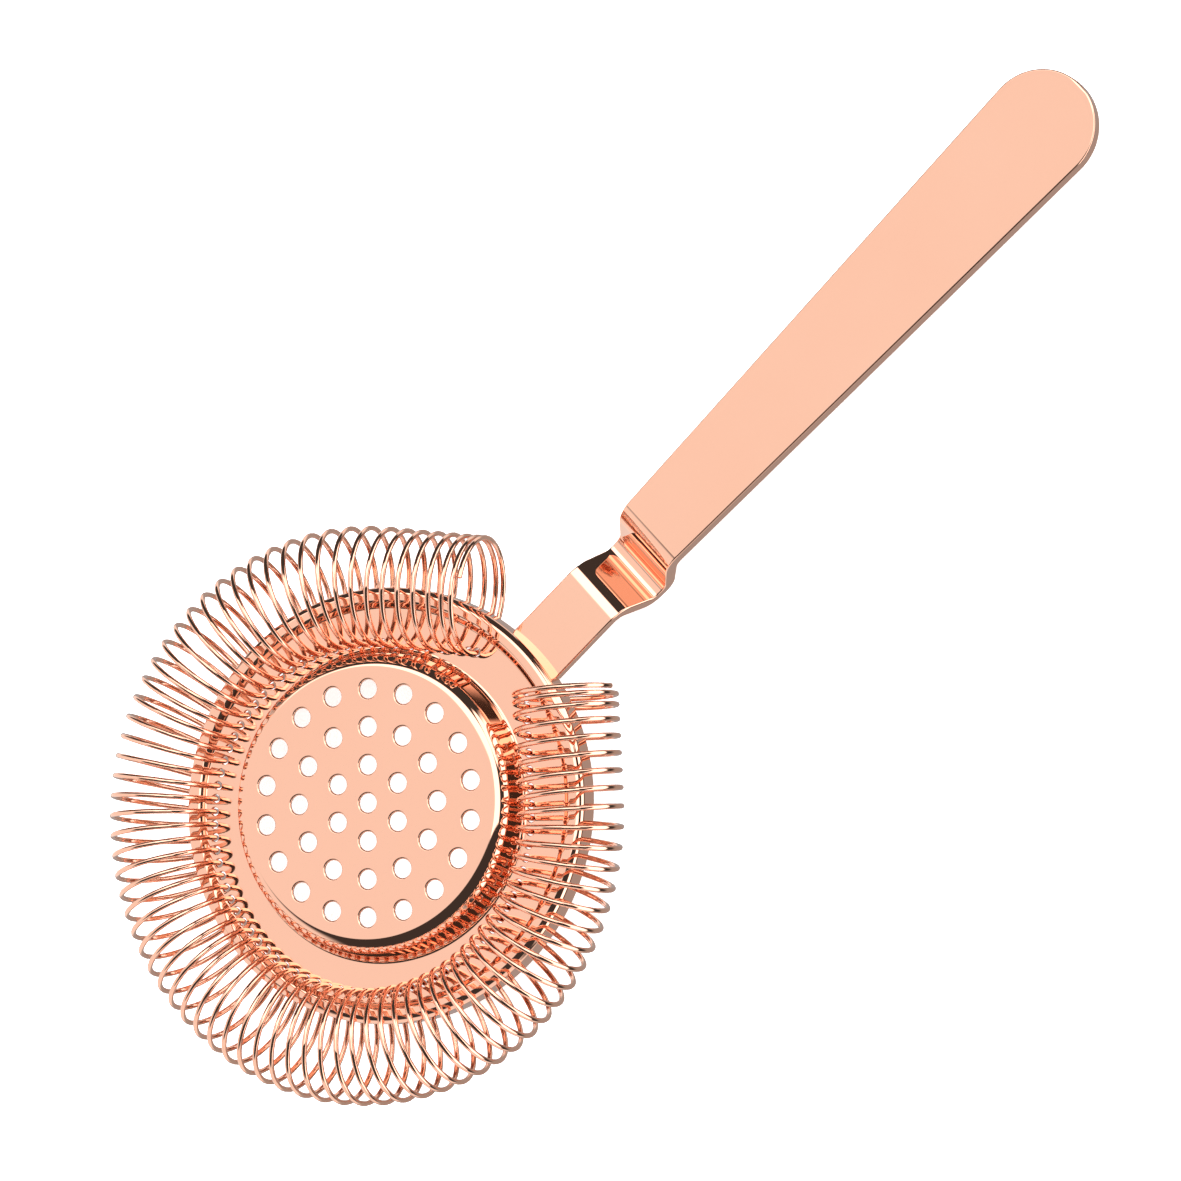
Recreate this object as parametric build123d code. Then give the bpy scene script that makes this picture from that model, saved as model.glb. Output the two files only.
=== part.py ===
from build123d import *
import math
import os

# Hawthorne strainer, in millimetres.
# The dish's axis is Z and the handle runs along +X. The dish's cup and the coil stand towards +Z,
# the side that goes down into a mixing tin. Z = 0 is the face of the handle strip that lies on the
# tin's lip.

# Dish: one pressed sheet, given by its spring-side face, from the axis outwards.
SHEET = 0.8
PLATE_Z = 9.7
CUP_TOP_R = 27.1
CUP_BASE_R = 28.6
FLANGE_Z = 3.1
FLANGE_R = 36.6
CROWN_Z = 4.1
CROWN_R = 37.6
RIM_R = 40.4
SKIRT_Z = -1.8
CUP_TOP_FILLET = 2.9
CUP_BASE_FILLET = 1.0
CROWN_FOOT_FILLET = 0.6
CROWN_EDGE_FILLET = 1.0
RIM_FILLET = 1.5

# Drain holes: a centre hole and rings of 6, 12 and 18.
DRAIN_R = 1.75
DRAIN_RING_PITCH = 7.0
DRAIN_RINGS = 3
DRAIN_TURN = 47.25

# Coil: a closed-end spring bent along two straight leads and one arc around the rim.
WIRE_R = 0.5
COIL_R = 9.8
COIL_Z = 5.6
ARC_R = 41.7
ARC_SHIFT = -3.4
ARC_START = 40.0
FIRST_LEAD = 18.3
LAST_LEAD = 20.2
TURNS = 79.2
FIRST_PHASE = 0.786
CLOSED_SHARE = 0.65
CLOSED_TURNS = 2.0
SWELL_MEAN = 0.51
SWELL_SIDE = 0.60
SWELL_SIDE_AT = 87.0
SWELL_OVAL = 1.10
SWELL_OVAL_AT = 54.5
SPANS = 16
POINTS_PER_TURN = 12
LACING_R = 0.8

# Handle: one flat bar, cranked over the tin's edge and widened into a grip.
STRIP_T = 2.2
STRIP_HALF_W = 6.2
CRANK_START = 57.3
CRANK_RUN = 4.6
CRANK_DEPTH = 7.7
CRANK_FLOOR = 2.9
CRANK_RISE_RUN = 4.7
GRIP_T = 3.0
GRIP_Z = 0.7
GRIP_HALF_W = 7.1
GRIP_START = 71.6
TIP_R = 10.4
TIP_CENTRE = 173.2
SOFT_BEND = 2.8
TIGHT_BEND = 2.0
CRANK_SHIFT = 1.4

# Weld: a bead under the skirt's edge, against the bar's end.
WELD_HALF_ANGLE = 8.6


def dish_profile():
    """Section of the sheet in the XZ plane, from the axis to the skirt's edge."""
    corners = [
        (0, PLATE_Z),
        (CUP_TOP_R, PLATE_Z),
        (CUP_BASE_R, FLANGE_Z),
        (FLANGE_R, FLANGE_Z),
        (CROWN_R, CROWN_Z),
        (RIM_R, CROWN_Z),
        (RIM_R, SKIRT_Z),
    ]
    radii = [CUP_TOP_FILLET, CUP_BASE_FILLET, CROWN_FOOT_FILLET, CROWN_EDGE_FILLET, RIM_FILLET]
    face_side = FilletPolyline(*corners, radius=radii)
    tin_side = offset(face_side, amount=SHEET, side=Side.RIGHT, closed=False)
    ends = [Line(face_side @ 0, tin_side @ 0), Line(face_side @ 1, tin_side @ 1)]
    return Plane.XZ * make_face([*face_side.edges(), *tin_side.edges(), *ends])


def drain_positions():
    """Hole centres on the plate: rings whose hole count grows by six."""
    spots = [(0.0, 0.0)]
    for ring in range(1, DRAIN_RINGS + 1):
        count = 6 * ring
        for i in range(count):
            angle = math.radians(DRAIN_TURN + 360 * i / count)
            reach = DRAIN_RING_PITCH * ring
            spots.append((reach * math.cos(angle), reach * math.sin(angle)))
    return spots


ARC_LENGTH = ARC_R * math.radians(360 - 2 * ARC_START)
COIL_LENGTH = FIRST_LEAD + ARC_LENGTH + LAST_LEAD


def coil_swell(angle):
    """How much further out the coil reaches: it is slightly oval and fuller on one side."""
    side = math.cos(angle - math.radians(SWELL_SIDE_AT))
    oval = math.cos(2 * (angle - math.radians(SWELL_OVAL_AT)))
    return SWELL_MEAN + SWELL_SIDE * side + SWELL_OVAL * oval


def coil_frame(s):
    """Centre, outward direction and radius of the coil's turn at arc length s."""
    along = min(max(s - FIRST_LEAD, 0), ARC_LENGTH)
    overshoot = s - FIRST_LEAD - along
    angle = math.radians(ARC_START) + along / ARC_R
    outward = Vector(math.cos(angle), math.sin(angle), 0)
    forward = Vector(-math.sin(angle), math.cos(angle), 0)
    growth = coil_swell(angle) / 2
    centre = Vector(ARC_SHIFT, 0, COIL_Z) + outward * (ARC_R + growth) + forward * overshoot
    return centre, outward, COIL_R + growth


def coil_travel(turn):
    """Arc length reached after a number of turns, with the end turns wound closer."""
    area = CLOSED_SHARE * CLOSED_TURNS * math.sqrt(math.pi) / 2
    whole = math.erf(TURNS / CLOSED_TURNS)
    lag = math.erf(turn / CLOSED_TURNS) + whole - math.erf((TURNS - turn) / CLOSED_TURNS)
    return COIL_LENGTH * (turn - area * lag) / (TURNS - 2 * area * whole)


def wire_point(turn):
    """Centre of the wire. Phase 0 is outermost, and the wire then goes round the tin side."""
    centre, outward, radius = coil_frame(coil_travel(turn))
    phase = -2 * math.pi * (turn + FIRST_PHASE)
    return centre + outward * (radius * math.cos(phase)) + Vector(0, 0, radius * math.sin(phase))


def wire_direction(turn):
    """Tangent of the wire, as long as the wire of one turn."""
    step = 1e-4
    return (wire_point(turn + step) - wire_point(turn - step)) * (0.5 / step)


def wire_span(first, last):
    """The wire between two turn counts. Neighbouring spans share the disc where they meet."""
    count = round((last - first) * POINTS_PER_TURN)
    stations = [first + (last - first) * i / count for i in range(count + 1)]
    points = [wire_point(turn) for turn in stations]
    ends = [wire_direction(first), wire_direction(last)]
    path = Edge.make_spline(points, tangents=ends, parameters=stations, scale=False)
    section = Plane(origin=points[0], z_dir=ends[0]) * Circle(WIRE_R)
    return sweep(section, path=path)


def lacing_positions():
    """Where each turn passes through the flange, halfway through the sheet."""
    drop = COIL_Z - (FLANGE_Z - SHEET / 2)
    share = 0.5 - math.asin(drop / COIL_R) / (2 * math.pi)
    first = share + 1 - FIRST_PHASE
    return [wire_point(first + i) for i in range(math.ceil(TURNS - first))]


def make_dish():
    dish = revolve(dish_profile(), Axis.Z)
    drains = [Pos(x, y, PLATE_Z) * Cylinder(DRAIN_R, 4 * SHEET) for x, y in drain_positions()]
    lacings = [Pos(p.X, p.Y, FLANGE_Z) * Cylinder(LACING_R, 4 * SHEET) for p in lacing_positions()]
    return dish - [*drains, *lacings]


def make_coil():
    turns_each = TURNS / SPANS
    return Compound([wire_span(i * turns_each, (i + 1) * turns_each).solid() for i in range(SPANS)])


def handle_side():
    """Side outline of the bar in the XZ plane: strip, crank and grip."""
    floor_in = CRANK_START + CRANK_RUN
    floor_out = floor_in + CRANK_FLOOR
    rise_end = floor_out + CRANK_RISE_RUN
    top = FilletPolyline(
        (RIM_R, 0),
        (CRANK_START, 0),
        (floor_in, -CRANK_DEPTH),
        (floor_out, -CRANK_DEPTH),
        (rise_end, GRIP_Z),
        (TIP_CENTRE + 2 * TIP_R, GRIP_Z),
        radius=[SOFT_BEND + STRIP_T, TIGHT_BEND, TIGHT_BEND, SOFT_BEND + STRIP_T],
    )
    bottom = FilletPolyline(
        (RIM_R, -STRIP_T),
        (CRANK_START - CRANK_SHIFT, -STRIP_T),
        (floor_in - CRANK_SHIFT, -CRANK_DEPTH - STRIP_T),
        (floor_out + CRANK_SHIFT, -CRANK_DEPTH - STRIP_T),
        (rise_end + CRANK_SHIFT, GRIP_Z - GRIP_T),
        (TIP_CENTRE + 2 * TIP_R, GRIP_Z - GRIP_T),
        radius=[SOFT_BEND, TIGHT_BEND + STRIP_T, TIGHT_BEND + STRIP_T, SOFT_BEND],
    )
    ends = [Line(top @ 0, bottom @ 0), Line(top @ 1, bottom @ 1)]
    return make_face([*top.edges(), *bottom.edges(), *ends])


def handle_plan():
    """Plan outline of the bar: parallel strip, tapering grip, full-round tip."""
    right = Polyline(
        (RIM_R - 2, -STRIP_HALF_W),
        (CRANK_START, -STRIP_HALF_W),
        (GRIP_START, -GRIP_HALF_W),
        (TIP_CENTRE, -TIP_R),
    )
    tip = ThreePointArc(right @ 1, (TIP_CENTRE + TIP_R, 0), (TIP_CENTRE, TIP_R))
    left = Polyline(
        (TIP_CENTRE, TIP_R),
        (GRIP_START, GRIP_HALF_W),
        (CRANK_START, STRIP_HALF_W),
        (RIM_R - 2, STRIP_HALF_W),
        (RIM_R - 2, -STRIP_HALF_W),
    )
    return make_face([*right.edges(), tip, *left.edges()])


def make_handle():
    width = 4 * TIP_R
    side = extrude(Plane.XZ * handle_side(), width / 2, both=True)
    plan = extrude(Pos(0, 0, -width / 2) * handle_plan(), width)
    bar = side & plan
    return bar - Cylinder(RIM_R, width)


def make_weld():
    corner = Polyline(
        (RIM_R - SHEET, SKIRT_Z),
        (RIM_R, SKIRT_Z),
        (RIM_R, -STRIP_T),
        close=True,
    )
    bead = revolve(Plane.XZ * make_face(corner), Axis.Z, 2 * WELD_HALF_ANGLE)
    return Rot(0, 0, -WELD_HALF_ANGLE) * bead


os.makedirs("parts", exist_ok=True)
export_step(make_dish(), "parts/strainer_dish.step")
export_step(make_coil(), "parts/coil_spring.step")
export_step(make_handle(), "parts/handle.step")
export_step(make_weld(), "parts/handle_weld.step")
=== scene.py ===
import math
import bmesh
import bpy
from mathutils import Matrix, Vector


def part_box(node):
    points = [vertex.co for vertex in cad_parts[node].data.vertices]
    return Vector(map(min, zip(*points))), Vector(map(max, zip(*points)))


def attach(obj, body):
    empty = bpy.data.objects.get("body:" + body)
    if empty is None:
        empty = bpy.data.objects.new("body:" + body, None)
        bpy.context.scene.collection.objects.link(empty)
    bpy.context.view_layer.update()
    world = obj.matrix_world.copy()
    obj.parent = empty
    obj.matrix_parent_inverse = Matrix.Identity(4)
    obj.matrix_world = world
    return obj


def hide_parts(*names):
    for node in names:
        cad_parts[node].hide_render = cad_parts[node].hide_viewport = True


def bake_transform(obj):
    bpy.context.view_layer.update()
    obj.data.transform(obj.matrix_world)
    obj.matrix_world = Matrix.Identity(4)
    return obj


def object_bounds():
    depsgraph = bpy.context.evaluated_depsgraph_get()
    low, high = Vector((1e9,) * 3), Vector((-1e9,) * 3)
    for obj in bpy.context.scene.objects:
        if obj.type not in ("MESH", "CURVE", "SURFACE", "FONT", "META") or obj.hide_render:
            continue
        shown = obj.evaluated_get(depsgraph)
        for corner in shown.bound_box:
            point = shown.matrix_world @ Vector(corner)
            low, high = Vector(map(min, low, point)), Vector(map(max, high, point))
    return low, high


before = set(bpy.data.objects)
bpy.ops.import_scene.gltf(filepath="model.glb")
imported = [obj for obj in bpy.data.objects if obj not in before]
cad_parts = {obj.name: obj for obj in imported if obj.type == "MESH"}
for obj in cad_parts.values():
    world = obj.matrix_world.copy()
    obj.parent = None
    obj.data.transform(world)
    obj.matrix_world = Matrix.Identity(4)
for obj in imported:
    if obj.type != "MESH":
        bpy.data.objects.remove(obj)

CAD_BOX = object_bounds()
MM = 0.001

# Dish section, spring side, from the axis outwards: (radius, height, bend radius), in mm.
SHEET = 0.8
PLATE_Z = 9.7
FLANGE_Z = 3.1
RIM_R = 40.4
SKIRT_Z = -1.8
DISH_CORNERS = [
    (0.0, PLATE_Z, 0.0),
    (27.1, PLATE_Z, 2.9),
    (28.6, FLANGE_Z, 1.0),
    (36.6, FLANGE_Z, 0.6),
    (37.6, 4.1, 1.0),
    (RIM_R, 4.1, 1.5),
    (RIM_R, SKIRT_Z, 0.0),
]
DISH_STEPS = 320
DISH_BEND_STEPS = 10
LIP_STEPS = 6

# Holes. The rounds are the radii of the rounded hole edges.
DRAIN_R = 1.75
DRAIN_PITCH = 7.0
DRAIN_RINGS = 3
DRAIN_TURN = math.radians(47.25)
LACING_R = 0.8
DRAIN_ROUND = 0.32
LACING_ROUND = 0.12
DRAIN_SIDES = 48
LACING_SIDES = 20
CUTTER_REACH = 1.0

# Coil.
WIRE_R = 0.5
COIL_R = 9.8
COIL_Z = 5.6
ARC_R = 41.7
ARC_SHIFT = -3.4
ARC_START = math.radians(40.0)
FIRST_LEAD = 18.3
LAST_LEAD = 20.2
TURNS = 79.2
FIRST_PHASE = 0.786
CLOSED_SHARE = 0.65
CLOSED_TURNS = 2.0
SWELL_MEAN = 0.51
SWELL_SIDE = 0.60
SWELL_SIDE_AT = math.radians(87.0)
SWELL_OVAL = 1.10
SWELL_OVAL_AT = math.radians(54.5)
RINGS_PER_TURN = 48
WIRE_SIDES = 12
TANGENT_STEP = 1e-3
CUT_END_LENGTH = 0.06
CUT_END_SHARE = 0.8

# Handle.
STRIP_T = 2.2
STRIP_HALF_W = 6.2
CRANK_START = 57.3
CRANK_RUN = 4.6
CRANK_DEPTH = 7.7
CRANK_FLOOR = 2.9
CRANK_RISE_RUN = 4.7
CRANK_SHIFT = 1.4
SOFT_BEND = 2.8
TIGHT_BEND = 2.0
GRIP_T = 3.0
GRIP_Z = 0.7
GRIP_HALF_W = 7.1
GRIP_START = 71.6
TIP_R = 10.4
TIP_CENTRE = 173.2
TAPER_START = GRIP_START + 4
EDGE_ROUND = 0.3
EDGE_STEPS = 4
BAR_BEND_STEPS = 12
TAPER_STEPS = 12
TIP_STEPS = 28
MERGE_M = 2e-6

# Weld bead: middle of its section, half sizes, and how its height swells along it.
WELD_R = RIM_R - 0.42
WELD_Z = -2.0
WELD_HALF_R = 0.4
WELD_HALF_Z = 0.2
WELD_LUMP = 0.1
WELD_LUMPS = 7
WELD_STEPS = 60
WELD_SIDES = 10

# Camera: place in the row frame and turn, from the photograph's view.
CAMERA_AT = (0.2473, -0.2940, 0.8134)
CAMERA_TURN = (5.527, 22.745, -42.93)
CAMERA_LENS = 147.7
SENSOR = 36.0

# Studio: brightness seen by direction. BACK and RIGHT are level directions as the camera sees them.
BACK = (0.707, 0.707, 0.0)
RIGHT = (0.733, -0.680, 0.0)
SOFTBOX = 1.0
BACKDROP = 1.0
HOT = 2.3
DARK = 0.05
SIDE_GLOW = 2.4
TABLE_EDGE = 0.4
WINDOW = (0.86, -0.02, 0.50)
WINDOW_EDGE = (0.955, 0.975)

# Edges of the studio's parts. Each fades in from the first share of a direction to the second.
UNDER_SOFTBOX = (0.75, 0.70)
FAR_RIGHT_EDGE = (-0.27, -0.14)
FAR_BACK_EDGE = (0.18, 0.28)
HOT_RIGHT_EDGE = (0.06, 0.16)
HOT_BACK_EDGE = (0.30, 0.38)
HOT_LOW_EDGE = (0.5, 0.6)
FRONT_EDGE = (-0.08, -0.12)
FRONT_LEFT_EDGE = (-0.68, -0.55)
FRONT_LOW_EDGE = (0.25, 0.40)
BEHIND_EDGE = (0.35, 0.50)
SIDE_EDGE = (0.40, 0.55)
GLOW_EDGE = (0.55, 0.70)
GLOW_TOP_EDGE = (0.32, 0.22)
ABOVE_TABLE_EDGE = (-0.45, -0.35)
TABLE_EDGE_FADE = (-0.60, -0.80)

# Floor and lights.
FLOOR_HALF_M = 3.0
FLOOR_WHITE = (0.93, 0.93, 0.93, 1.0)
FLOOR_GLOW = 0.75
WHITE = (1.0, 1.0, 1.0, 1.0)

# Copper tints and the ranges of their surface noise.
BRIGHT = (0.998, 0.585, 0.425)
SHEET_TINT = (0.99, 0.565, 0.41)
DEEP = (0.985, 0.545, 0.385)
WELD_TINT = (0.80, 0.40, 0.28)
DRIFT_SCALE = 40.0
HAZE_SCALE = 900.0
HAZE_RANGE = (0.35, 0.75)
HAZE_SPREAD = 2.2
RIPPLE_HEIGHT_M = 0.0002


# ---------------------------------------------------------------- mesh helpers

def mesh_object(name, verts, faces):
    """A mesh object from points in mm."""
    mesh = bpy.data.meshes.new(name)
    mesh.from_pydata([Vector(v) * MM for v in verts], [], faces)
    mesh.validate()
    piece = bpy.data.objects.new(name, mesh)
    bpy.context.scene.collection.objects.link(piece)
    return piece


def outward(piece):
    """Turns all faces to look outwards."""
    bm = bmesh.new()
    bm.from_mesh(piece.data)
    bmesh.ops.recalc_face_normals(bm, faces=bm.faces)
    bm.to_mesh(piece.data)
    bm.free()


def smooth(piece, degrees=35.0):
    """Smooth shading up to an angle, with flat faces kept flat."""
    piece.data.shade_smooth()
    piece.data.set_sharp_from_angle(angle=math.radians(degrees))
    weighted = piece.modifiers.new("weighted", "WEIGHTED_NORMAL")
    weighted.keep_sharp = True
    weighted.weight = 100
    apply_modifiers(piece)


def apply_modifiers(piece):
    """Bakes every modifier into the mesh."""
    depsgraph = bpy.context.evaluated_depsgraph_get()
    baked = bpy.data.meshes.new_from_object(piece.evaluated_get(depsgraph))
    piece.modifiers.clear()
    piece.data = baked


def tube_sides(rows, size, base=0, turned=False):
    """Quads between rings of size points. Turned ones are wound the other way."""
    faces = []
    for row in range(rows - 1):
        for i in range(size):
            a = base + row * size + i
            b = base + row * size + (i + 1) % size
            faces.append((a, a + size, b + size, b) if turned else (a, b, b + size, a + size))
    return faces


def tube_ends(rows, size, base=0, turned=False):
    """The two end faces of such a tube."""
    first = range(base, base + size)
    last = range(base + (rows - 1) * size, base + rows * size)
    if turned:
        return [tuple(first), tuple(reversed(last))]
    return [tuple(reversed(first)), tuple(last)]


def rounded_line(corners, steps):
    """Points of a polyline whose inner corners are arcs. corners are (x, z, bend radius)."""
    line = [(corners[0][0], corners[0][1])]
    for before, here, after in zip(corners, corners[1:], corners[2:]):
        p = Vector(here[:2])
        back = (Vector(before[:2]) - p).normalized()
        ahead = (Vector(after[:2]) - p).normalized()
        half = back.angle(ahead) / 2
        reach = here[2] / math.tan(half)
        centre = p + (back + ahead).normalized() * (here[2] / math.sin(half))
        start = p + back * reach - centre
        sweep = math.pi - 2 * half
        side = 1.0 if start.x * ahead.y - start.y * ahead.x > 0 else -1.0
        for i in range(steps + 1):
            turn = side * sweep * i / steps
            x = start.x * math.cos(turn) - start.y * math.sin(turn)
            z = start.x * math.sin(turn) + start.y * math.cos(turn)
            line.append((centre.x + x, centre.y + z))
    line.append((corners[-1][0], corners[-1][1]))
    return line


def shifted(corners, distance):
    """The same polyline moved sideways by distance to its right, bends included."""
    moved = []
    count = len(corners)
    for i, (x, z, bend) in enumerate(corners):
        here = Vector((x, z))
        ahead = (Vector(corners[i + 1][:2]) - here).normalized() if i < count - 1 else None
        behind = (here - Vector(corners[i - 1][:2])).normalized() if i else None
        ahead = ahead or behind
        behind = behind or ahead
        right_in = Vector((behind.y, -behind.x))
        right_out = Vector((ahead.y, -ahead.x))
        middle = (right_in + right_out).normalized()
        spot = here + middle * (distance / middle.dot(right_in))
        turn = behind.x * ahead.y - behind.y * ahead.x
        moved.append((spot.x, spot.y, bend + distance * (1 if turn > 0 else -1)))
    return moved


# ---------------------------------------------------------------- dish

def drain_spots():
    """Plan places of the drain holes."""
    spots = [(0.0, 0.0)]
    for ring in range(1, DRAIN_RINGS + 1):
        for i in range(6 * ring):
            angle = DRAIN_TURN + 2 * math.pi * i / (6 * ring)
            spots.append((DRAIN_PITCH * ring * math.cos(angle), DRAIN_PITCH * ring * math.sin(angle)))
    return spots


def lacing_spots():
    """Plan places where the wire passes through the flange."""
    drop = COIL_Z - (FLANGE_Z - SHEET / 2)
    share = 0.5 - math.asin(drop / COIL_R) / (2 * math.pi)
    first = share + 1 - FIRST_PHASE
    spots = [wire_point(first + i) for i in range(math.ceil(TURNS - first))]
    return [(p.x, p.y) for p in spots]


def hole_cutter(spots, radius, bevel, top, sides):
    """Cylinders that flare at both faces of the sheet, as rounded hole edges."""
    bottom = top - SHEET
    flare = []
    for i in range(EDGE_STEPS + 1):
        angle = math.pi / 2 * i / EDGE_STEPS
        flare.append((bevel * (1 - math.sin(angle)), bevel * (1 - math.cos(angle))))
    section = [(radius + bevel, top + CUTTER_REACH)]
    section += [(radius + grow, top - drop) for grow, drop in flare]
    section += [(radius + grow, bottom + drop) for grow, drop in reversed(flare)]
    section.append((radius + bevel, bottom - CUTTER_REACH))
    verts = []
    faces = []
    for x, y in spots:
        base = len(verts)
        for r, z in section:
            for i in range(sides):
                angle = 2 * math.pi * i / sides
                verts.append((x + r * math.cos(angle), y + r * math.sin(angle), z))
        faces += tube_sides(len(section), sides, base) + tube_ends(len(section), sides, base)
    cutter = mesh_object("cutter", verts, faces)
    outward(cutter)
    return cutter


def cut(piece, cutter):
    """Subtracts the cutter and deletes it."""
    boolean = piece.modifiers.new("cut", "BOOLEAN")
    boolean.operation = "DIFFERENCE"
    boolean.solver = "EXACT"
    boolean.use_self = True
    boolean.object = cutter
    apply_modifiers(piece)
    bpy.data.objects.remove(cutter)


def make_dish():
    """The pressed sheet: a turned shell with its plate and flange pierced."""
    face_side = rounded_line(DISH_CORNERS, DISH_BEND_STEPS)[1:]
    tin_side = rounded_line(shifted(DISH_CORNERS, SHEET), DISH_BEND_STEPS)[1:]
    lip_r = SHEET / 2
    lip_z = SKIRT_Z + lip_r
    lip = []
    for i in range(1, LIP_STEPS):
        angle = math.pi * i / LIP_STEPS
        lip.append((RIM_R - lip_r + lip_r * math.cos(angle), lip_z - lip_r * math.sin(angle)))
    face_side[-1] = (RIM_R, lip_z)
    tin_side[-1] = (RIM_R - SHEET, lip_z)
    section = face_side + lip + tin_side[::-1]
    verts = []
    for r, z in section:
        for i in range(DISH_STEPS):
            angle = 2 * math.pi * i / DISH_STEPS
            verts.append((r * math.cos(angle), r * math.sin(angle), z))
    faces = tube_sides(len(section), DISH_STEPS, turned=True)
    faces += tube_ends(len(section), DISH_STEPS, turned=True)
    dish = mesh_object("dish_sheet", verts, faces)
    outward(dish)
    cut(dish, hole_cutter(drain_spots(), DRAIN_R, DRAIN_ROUND, PLATE_Z, DRAIN_SIDES))
    cut(dish, hole_cutter(lacing_spots(), LACING_R, LACING_ROUND, FLANGE_Z, LACING_SIDES))
    smooth(dish)
    return dish


# ---------------------------------------------------------------- coil

ARC_LENGTH = ARC_R * (2 * math.pi - 2 * ARC_START)
COIL_LENGTH = FIRST_LEAD + ARC_LENGTH + LAST_LEAD


def coil_swell(angle):
    """How much further out the coil reaches, being slightly oval and fuller on one side."""
    oval = math.cos(2 * (angle - SWELL_OVAL_AT))
    return SWELL_MEAN + SWELL_SIDE * math.cos(angle - SWELL_SIDE_AT) + SWELL_OVAL * oval


def coil_frame(s):
    """Centre, outward direction and radius of the coil's turn at arc length s."""
    along = min(max(s - FIRST_LEAD, 0), ARC_LENGTH)
    angle = ARC_START + along / ARC_R
    growth = coil_swell(angle) / 2
    out = Vector((math.cos(angle), math.sin(angle), 0))
    forward = Vector((-math.sin(angle), math.cos(angle), 0))
    centre = Vector((ARC_SHIFT, 0, COIL_Z)) + out * (ARC_R + growth)
    return centre + forward * (s - FIRST_LEAD - along), out, COIL_R + growth


def coil_travel(turn):
    """Arc length after a number of turns, with the end turns wound closer."""
    area = CLOSED_SHARE * CLOSED_TURNS * math.sqrt(math.pi) / 2
    whole = math.erf(TURNS / CLOSED_TURNS)
    lag = math.erf(turn / CLOSED_TURNS) + whole - math.erf((TURNS - turn) / CLOSED_TURNS)
    return COIL_LENGTH * (turn - area * lag) / (TURNS - 2 * area * whole)


def wire_point(turn):
    """Centre of the wire after a number of turns, in mm."""
    centre, out, radius = coil_frame(coil_travel(turn))
    phase = -2 * math.pi * (turn + FIRST_PHASE)
    return centre + out * (radius * math.cos(phase)) + Vector((0, 0, radius * math.sin(phase)))


def make_coil():
    """The wire as one closed tube, with softly cut ends."""
    count = round(TURNS * RINGS_PER_TURN)
    stations = [TURNS * i / count for i in range(count + 1)]
    rings = []
    for turn in stations:
        point = wire_point(turn)
        ahead = (wire_point(turn + TANGENT_STEP) - wire_point(turn - TANGENT_STEP)).normalized()
        across = (point - coil_frame(coil_travel(turn))[0]).normalized()
        across = (across - ahead * across.dot(ahead)).normalized()
        rings.append((point, ahead, across, ahead.cross(across)))
    rows = [(ring, 0.0, 1.0) for ring in rings]
    rows.insert(0, (rings[0], -CUT_END_LENGTH, CUT_END_SHARE))
    rows.append((rings[-1], CUT_END_LENGTH, CUT_END_SHARE))
    verts = []
    for (point, ahead, across, beside), push, grow in rows:
        for i in range(WIRE_SIDES):
            angle = 2 * math.pi * i / WIRE_SIDES
            spoke = across * math.cos(angle) + beside * math.sin(angle)
            verts.append(point + ahead * push + spoke * (WIRE_R * grow))
    faces = tube_sides(len(rows), WIRE_SIDES) + tube_ends(len(rows), WIRE_SIDES)
    coil = mesh_object("coil_wire", verts, faces)
    coil.data.shade_smooth()
    coil.data.set_sharp_from_angle(angle=math.radians(50))
    return coil


# ---------------------------------------------------------------- handle

def half_width(x):
    """Half the bar's width at x, up to the centre of its round tip."""
    if x < CRANK_START:
        return STRIP_HALF_W
    if x < GRIP_START:
        share = (x - CRANK_START) / (GRIP_START - CRANK_START)
        return STRIP_HALF_W + (GRIP_HALF_W - STRIP_HALF_W) * share
    return GRIP_HALF_W + (TIP_R - GRIP_HALF_W) * (x - GRIP_START) / (TIP_CENTRE - GRIP_START)


def bar_stations():
    """Matching points on the bar's two faces, as (spring side, other side) pairs of (x, z)."""
    floor_in = CRANK_START + CRANK_RUN
    floor_out = floor_in + CRANK_FLOOR
    rise_end = floor_out + CRANK_RISE_RUN
    start = math.sqrt(RIM_R ** 2 - STRIP_HALF_W ** 2)
    back = GRIP_Z - GRIP_T
    top = [
        (start, 0, 0),
        (CRANK_START, 0, SOFT_BEND + STRIP_T),
        (floor_in, -CRANK_DEPTH, TIGHT_BEND),
        (floor_out, -CRANK_DEPTH, TIGHT_BEND),
        (rise_end, GRIP_Z, SOFT_BEND + STRIP_T),
        (TAPER_START, GRIP_Z, 0),
    ]
    bottom = [
        (start, -STRIP_T, 0),
        (CRANK_START - CRANK_SHIFT, -STRIP_T, SOFT_BEND),
        (floor_in - CRANK_SHIFT, -CRANK_DEPTH - STRIP_T, TIGHT_BEND + STRIP_T),
        (floor_out + CRANK_SHIFT, -CRANK_DEPTH - STRIP_T, TIGHT_BEND + STRIP_T),
        (rise_end + CRANK_SHIFT, back, SOFT_BEND),
        (TAPER_START, back, 0),
    ]
    pairs = list(zip(rounded_line(top, BAR_BEND_STEPS), rounded_line(bottom, BAR_BEND_STEPS)))
    for i in range(1, TAPER_STEPS + 1):
        x = TAPER_START + (TIP_CENTRE - TAPER_START) * i / TAPER_STEPS
        pairs.append(((x, GRIP_Z), (x, back)))
    return pairs


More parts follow.
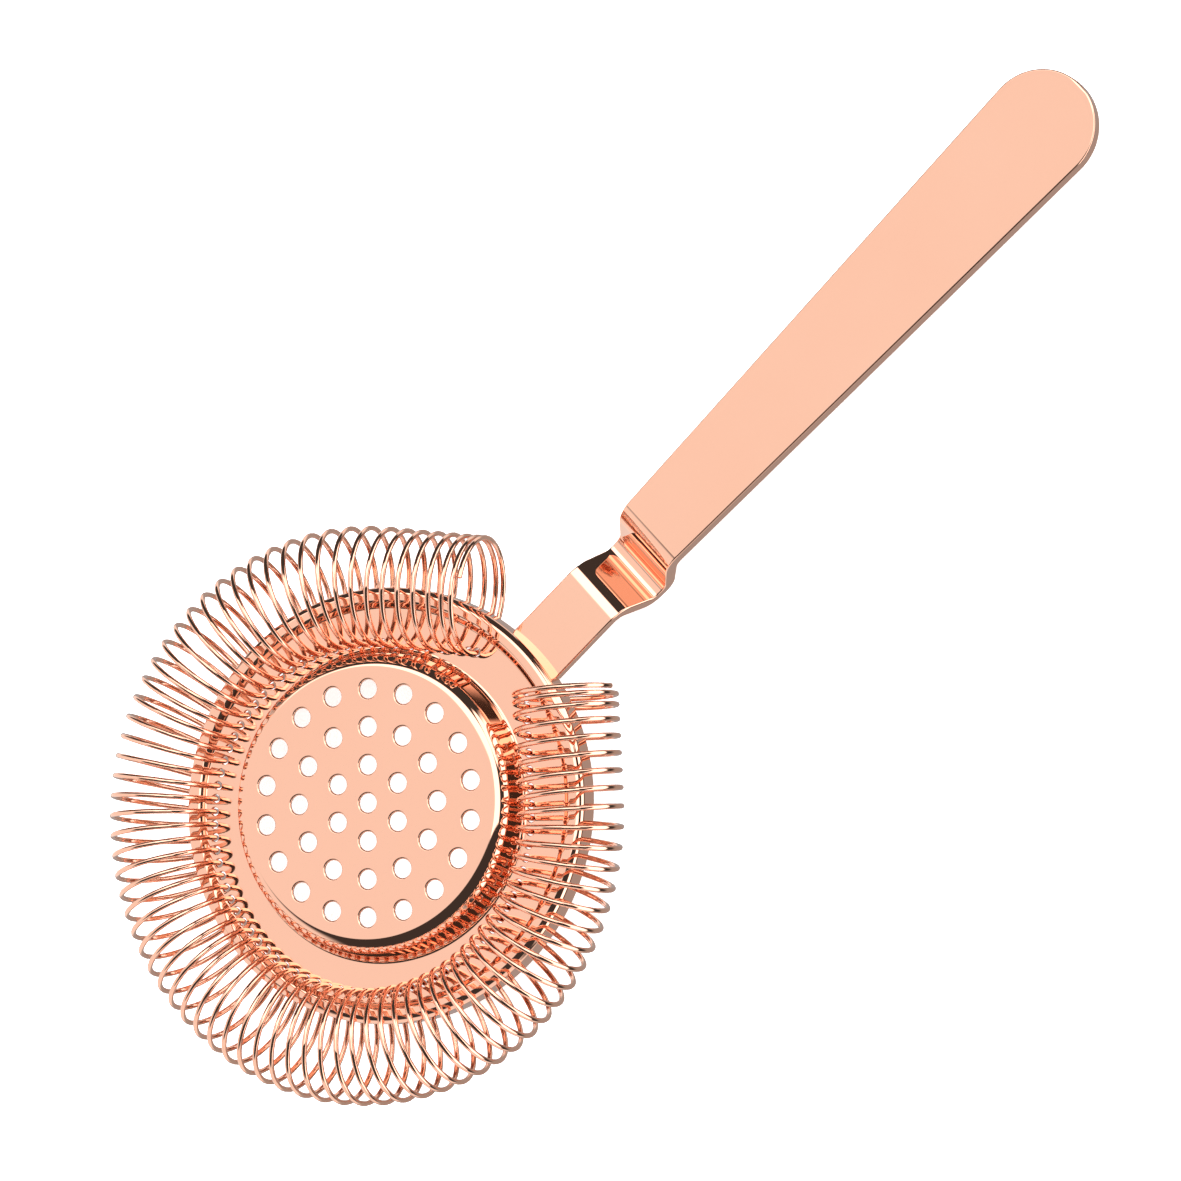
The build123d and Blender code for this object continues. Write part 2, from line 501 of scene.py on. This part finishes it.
def bar_ring(top, bottom, width, plan_normal):
    """One closed ring around the bar, with rounded edges."""
    depth = Vector((top[0] - bottom[0], top[1] - bottom[1])).normalized()
    ring = []
    quarter = [math.pi / 2 * i / EDGE_STEPS for i in range(EDGE_STEPS + 1)]
    nx, ny = plan_normal
    for side in (1, -1):
        edge = []
        for point, sign in ((top, 1), (bottom, -1)):
            angles = quarter[::-1] if sign == 1 else quarter
            for angle in angles:
                inset = EDGE_ROUND * (1 - math.cos(angle))
                sink = EDGE_ROUND * (1 - math.sin(angle)) * sign
                x = point[0] - depth.x * sink - nx * inset
                z = point[1] - depth.y * sink
                y = max(width - ny * inset, 0.0)
                edge.append((x, side * y, z))
        ring += edge if side == 1 else edge[::-1]
    return ring


def make_handle():
    """The cranked bar: a loft of rings with a full-round tip."""
    rings = []
    for top, bottom in bar_stations():
        rings.append(bar_ring(top, bottom, half_width(top[0]), (0.0, 1.0)))
    for i in range(1, TIP_STEPS + 1):
        angle = math.pi / 2 * i / TIP_STEPS
        x = TIP_CENTRE + TIP_R * math.sin(angle)
        faces = (x, GRIP_Z), (x, GRIP_Z - GRIP_T)
        rings.append(bar_ring(*faces, TIP_R * math.cos(angle), (math.sin(angle), math.cos(angle))))
    size = len(rings[0])
    verts = [p for ring in rings for p in ring]
    faces = tube_sides(len(rings), size, turned=True) + tube_ends(len(rings), size, turned=True)[:1]
    handle = mesh_object("handle_bar", verts, faces)
    bm = bmesh.new()
    bm.from_mesh(handle.data)
    bmesh.ops.remove_doubles(bm, verts=bm.verts, dist=MERGE_M)
    bmesh.ops.dissolve_degenerate(bm, edges=bm.edges, dist=MERGE_M / 2)
    bmesh.ops.recalc_face_normals(bm, faces=bm.faces)
    bm.to_mesh(handle.data)
    bm.free()
    smooth(handle)
    return handle


def make_weld():
    """A slightly lumpy bead under the skirt's edge, against the bar."""
    reach = math.asin(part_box("handle_weld")[1].y / (RIM_R * MM))
    verts = []
    for i in range(WELD_STEPS + 1):
        angle = -reach + 2 * reach * i / WELD_STEPS
        taper = math.sqrt(max(0.0, 1 - (abs(angle) / reach) ** 6))
        lump = 1 - WELD_LUMP + WELD_LUMP * math.cos(WELD_LUMPS * 2 * math.pi * i / WELD_STEPS)
        for k in range(WELD_SIDES):
            turn = 2 * math.pi * k / WELD_SIDES
            r = WELD_R + WELD_HALF_R * math.cos(turn) * taper
            z = WELD_Z + WELD_HALF_Z * math.sin(turn) * taper * lump
            verts.append((r * math.cos(angle), r * math.sin(angle), z))
    faces = tube_sides(WELD_STEPS + 1, WELD_SIDES) + tube_ends(WELD_STEPS + 1, WELD_SIDES)
    weld = mesh_object("weld_bead", verts, faces)
    outward(weld)
    weld.data.shade_smooth()
    return weld


# ---------------------------------------------------------------- materials

def plated_copper(name, tint, dark_tint, roughness, wave, wave_scale):
    """Mirror copper plating: faint colour drift, polishing haze and a very slight waviness."""
    material = bpy.data.materials.new(name)
    material.use_nodes = True
    nodes = material.node_tree.nodes
    links = material.node_tree.links
    shader = nodes["Principled BSDF"]
    shader.inputs["Metallic"].default_value = 1.0
    place = nodes.new("ShaderNodeTexCoord")

    def noise(scale, detail):
        node = nodes.new("ShaderNodeTexNoise")
        node.inputs["Scale"].default_value = scale
        node.inputs["Detail"].default_value = detail
        links.new(place.outputs["Object"], node.inputs["Vector"])
        return node.outputs["Fac"]

    colour = nodes.new("ShaderNodeMix")
    colour.data_type = "RGBA"
    colour.inputs["A"].default_value = (*tint, 1.0)
    colour.inputs["B"].default_value = (*dark_tint, 1.0)
    links.new(noise(DRIFT_SCALE, detail=3.0), colour.inputs["Factor"])
    links.new(colour.outputs["Result"], shader.inputs["Base Color"])

    spread = nodes.new("ShaderNodeMapRange")
    spread.inputs["From Min"].default_value = HAZE_RANGE[0]
    spread.inputs["From Max"].default_value = HAZE_RANGE[1]
    spread.inputs["To Min"].default_value = roughness
    spread.inputs["To Max"].default_value = roughness * HAZE_SPREAD
    links.new(noise(HAZE_SCALE, detail=6.0), spread.inputs["Value"])
    links.new(spread.outputs["Result"], shader.inputs["Roughness"])

    bump = nodes.new("ShaderNodeBump")
    bump.inputs["Strength"].default_value = wave
    bump.inputs["Distance"].default_value = RIPPLE_HEIGHT_M
    links.new(noise(wave_scale, detail=1.0), bump.inputs["Height"])
    links.new(bump.outputs["Normal"], shader.inputs["Normal"])
    return material


def pale_floor_material():
    """Matt near-white paper, clear when seen from underneath."""
    material = bpy.data.materials.new("paper")
    material.use_nodes = True
    nodes = material.node_tree.nodes
    links = material.node_tree.links
    shader = nodes["Principled BSDF"]
    shader.inputs["Base Color"].default_value = FLOOR_WHITE
    shader.inputs["Roughness"].default_value = 1.0
    shader.inputs["Specular IOR Level"].default_value = 0.0
    shader.inputs["Emission Color"].default_value = WHITE
    shader.inputs["Emission Strength"].default_value = FLOOR_GLOW
    clear = nodes.new("ShaderNodeBsdfTransparent")
    under = nodes.new("ShaderNodeMixShader")
    links.new(nodes.new("ShaderNodeNewGeometry").outputs["Backfacing"], under.inputs["Fac"])
    links.new(shader.outputs["BSDF"], under.inputs[1])
    links.new(clear.outputs["BSDF"], under.inputs[2])
    links.new(under.outputs["Shader"], nodes["Material Output"].inputs["Surface"])
    return material


# ---------------------------------------------------------------- studio

def studio_world():
    """A softbox overhead with a hot part, dark studio in front and behind, and a lit right side."""
    world = bpy.data.worlds.new("studio")
    bpy.context.scene.world = world
    world.use_nodes = True
    nodes = world.node_tree.nodes
    links = world.node_tree.links
    background = nodes["Background"]
    place = nodes.new("ShaderNodeTexCoord")
    split = nodes.new("ShaderNodeSeparateXYZ")
    links.new(place.outputs["Generated"], split.inputs["Vector"])
    up = split.outputs["Z"]

    def along(direction):
        """How far a direction of view lies along the given one."""
        node = nodes.new("ShaderNodeVectorMath")
        node.operation = "DOT_PRODUCT"
        node.inputs[1].default_value = direction
        links.new(place.outputs["Generated"], node.inputs[0])
        return node.outputs["Value"]

    def ramp(source, start, end):
        """0 at start, 1 at end, with a soft step between."""
        node = nodes.new("ShaderNodeMapRange")
        node.interpolation_type = "SMOOTHSTEP"
        node.inputs["From Min"].default_value = min(start, end)
        node.inputs["From Max"].default_value = max(start, end)
        node.inputs["To Min"].default_value = 0.0 if start < end else 1.0
        node.inputs["To Max"].default_value = 1.0 if start < end else 0.0
        links.new(source, node.inputs["Value"])
        return node.outputs["Result"]

    def join(operation, first, second):
        node = nodes.new("ShaderNodeMath")
        node.operation = operation
        links.new(first, node.inputs[0])
        links.new(second, node.inputs[1])
        return node.outputs["Value"]

    def paint(level, mask, value):
        """Puts a value over the level so far, where the mask is 1."""
        mix = nodes.new("ShaderNodeMix")
        mix.inputs["A"].default_value = SOFTBOX
        mix.inputs["B"].default_value = value
        links.new(mask, mix.inputs["Factor"])
        if level:
            links.new(level, mix.inputs["A"])
        return mix.outputs["Result"]

    back = along(BACK)
    right = along(RIGHT)
    low = ramp(up, *UNDER_SOFTBOX)
    far = join("MULTIPLY", ramp(right, *FAR_RIGHT_EDGE), ramp(back, *FAR_BACK_EDGE))
    near = join("MAXIMUM", ramp(right, *HOT_RIGHT_EDGE), ramp(back, *HOT_BACK_EDGE))
    hot = join("MULTIPLY", join("MAXIMUM", far, near), ramp(up, *HOT_LOW_EDGE))
    front = join("MULTIPLY", ramp(back, *FRONT_EDGE), ramp(right, *FRONT_LEFT_EDGE))
    behind = join("MULTIPLY", ramp(back, *BEHIND_EDGE), ramp(up, *ABOVE_TABLE_EDGE))
    glow = join("MULTIPLY", ramp(up, *GLOW_TOP_EDGE), ramp(up, *ABOVE_TABLE_EDGE))
    level = paint(None, hot, HOT)
    level = paint(level, join("MULTIPLY", front, ramp(up, *FRONT_LOW_EDGE)), DARK)
    level = paint(level, join("MULTIPLY", behind, low), DARK)
    level = paint(level, join("MULTIPLY", ramp(right, *SIDE_EDGE), low), DARK)
    level = paint(level, ramp(along(Vector(WINDOW).normalized()), *WINDOW_EDGE), HOT)
    level = paint(level, join("MULTIPLY", ramp(right, *GLOW_EDGE), glow), SIDE_GLOW)
    level = paint(level, ramp(up, *TABLE_EDGE_FADE), TABLE_EDGE)
    seen = nodes.new("ShaderNodeLightPath").outputs["Is Camera Ray"]
    links.new(paint(level, seen, BACKDROP), background.inputs["Strength"])
    background.inputs["Color"].default_value = WHITE


def fill_light(name, at, size, power):
    """A soft panel that lights the floor and isn't seen in the metal."""
    lamp = bpy.data.lights.new(name, "AREA")
    lamp.size = size
    lamp.energy = power
    panel = bpy.data.objects.new(name, lamp)
    bpy.context.scene.collection.objects.link(panel)
    panel.location = at
    panel.rotation_mode = "QUATERNION"
    panel.rotation_quaternion = (-Vector(at)).to_track_quat("-Z", "Y")
    panel.visible_glossy = False
    panel.visible_camera = False


def pale_floor():
    """A plain floor under the object's lowest point."""
    half = FLOOR_HALF_M
    corners = [(-half, -half), (half, -half), (half, half), (-half, half)]
    mesh = bpy.data.meshes.new("floor")
    mesh.from_pydata([(x, y, CAD_BOX[0].z) for x, y in corners], [], [(0, 1, 2, 3)])
    floor = bpy.data.objects.new("floor", mesh)
    bpy.context.scene.collection.objects.link(floor)
    mesh.materials.append(pale_floor_material())
    floor.visible_glossy = False


def add_camera():
    """The camera of the main view."""
    data = bpy.data.cameras.new("camera")
    data.lens = CAMERA_LENS
    data.sensor_width = SENSOR
    data.clip_start = 0.01
    data.clip_end = 20.0
    camera = bpy.data.objects.new("camera", data)
    bpy.context.scene.collection.objects.link(camera)
    camera.location = CAMERA_AT
    camera.rotation_euler = [math.radians(a) for a in CAMERA_TURN]
    bpy.context.scene.camera = camera


# ---------------------------------------------------------------- assembly

def dress(piece, material):
    """Gives a piece its material."""
    piece.data.materials.clear()
    piece.data.materials.append(material)


add_camera()
studio_world()
pale_floor()
fill_light("key", at=(-0.5, 0.6, 1.4), size=1.2, power=26.0)
fill_light("fill", at=(0.7, -0.3, 1.3), size=1.2, power=16.0)

sheet_copper = plated_copper("sheet_copper", SHEET_TINT, DEEP, roughness=0.025, wave=0.10, wave_scale=45.0)
wire_copper = plated_copper("wire_copper", BRIGHT, DEEP, roughness=0.05, wave=0.25, wave_scale=300.0)
bar_copper = plated_copper("bar_copper", BRIGHT, DEEP, roughness=0.03, wave=0.08, wave_scale=30.0)
weld_copper = plated_copper("weld_copper", DEEP, WELD_TINT, roughness=0.18, wave=0.6, wave_scale=1500.0)

dish = make_dish()
dress(dish, sheet_copper)
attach(dish, "dish")
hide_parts("strainer_dish")

handle = make_handle()
dress(handle, bar_copper)
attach(handle, "dish")
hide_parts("handle")

weld = make_weld()
dress(weld, weld_copper)
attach(weld, "dish")
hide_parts("handle_weld")

coil = make_coil()
dress(coil, wire_copper)
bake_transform(coil)
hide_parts("coil_spring")

bpy.context.scene.view_settings.view_transform = "Standard"

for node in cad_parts.values():
    node.data.materials.clear()
    node.data.materials.append(sheet_copper)
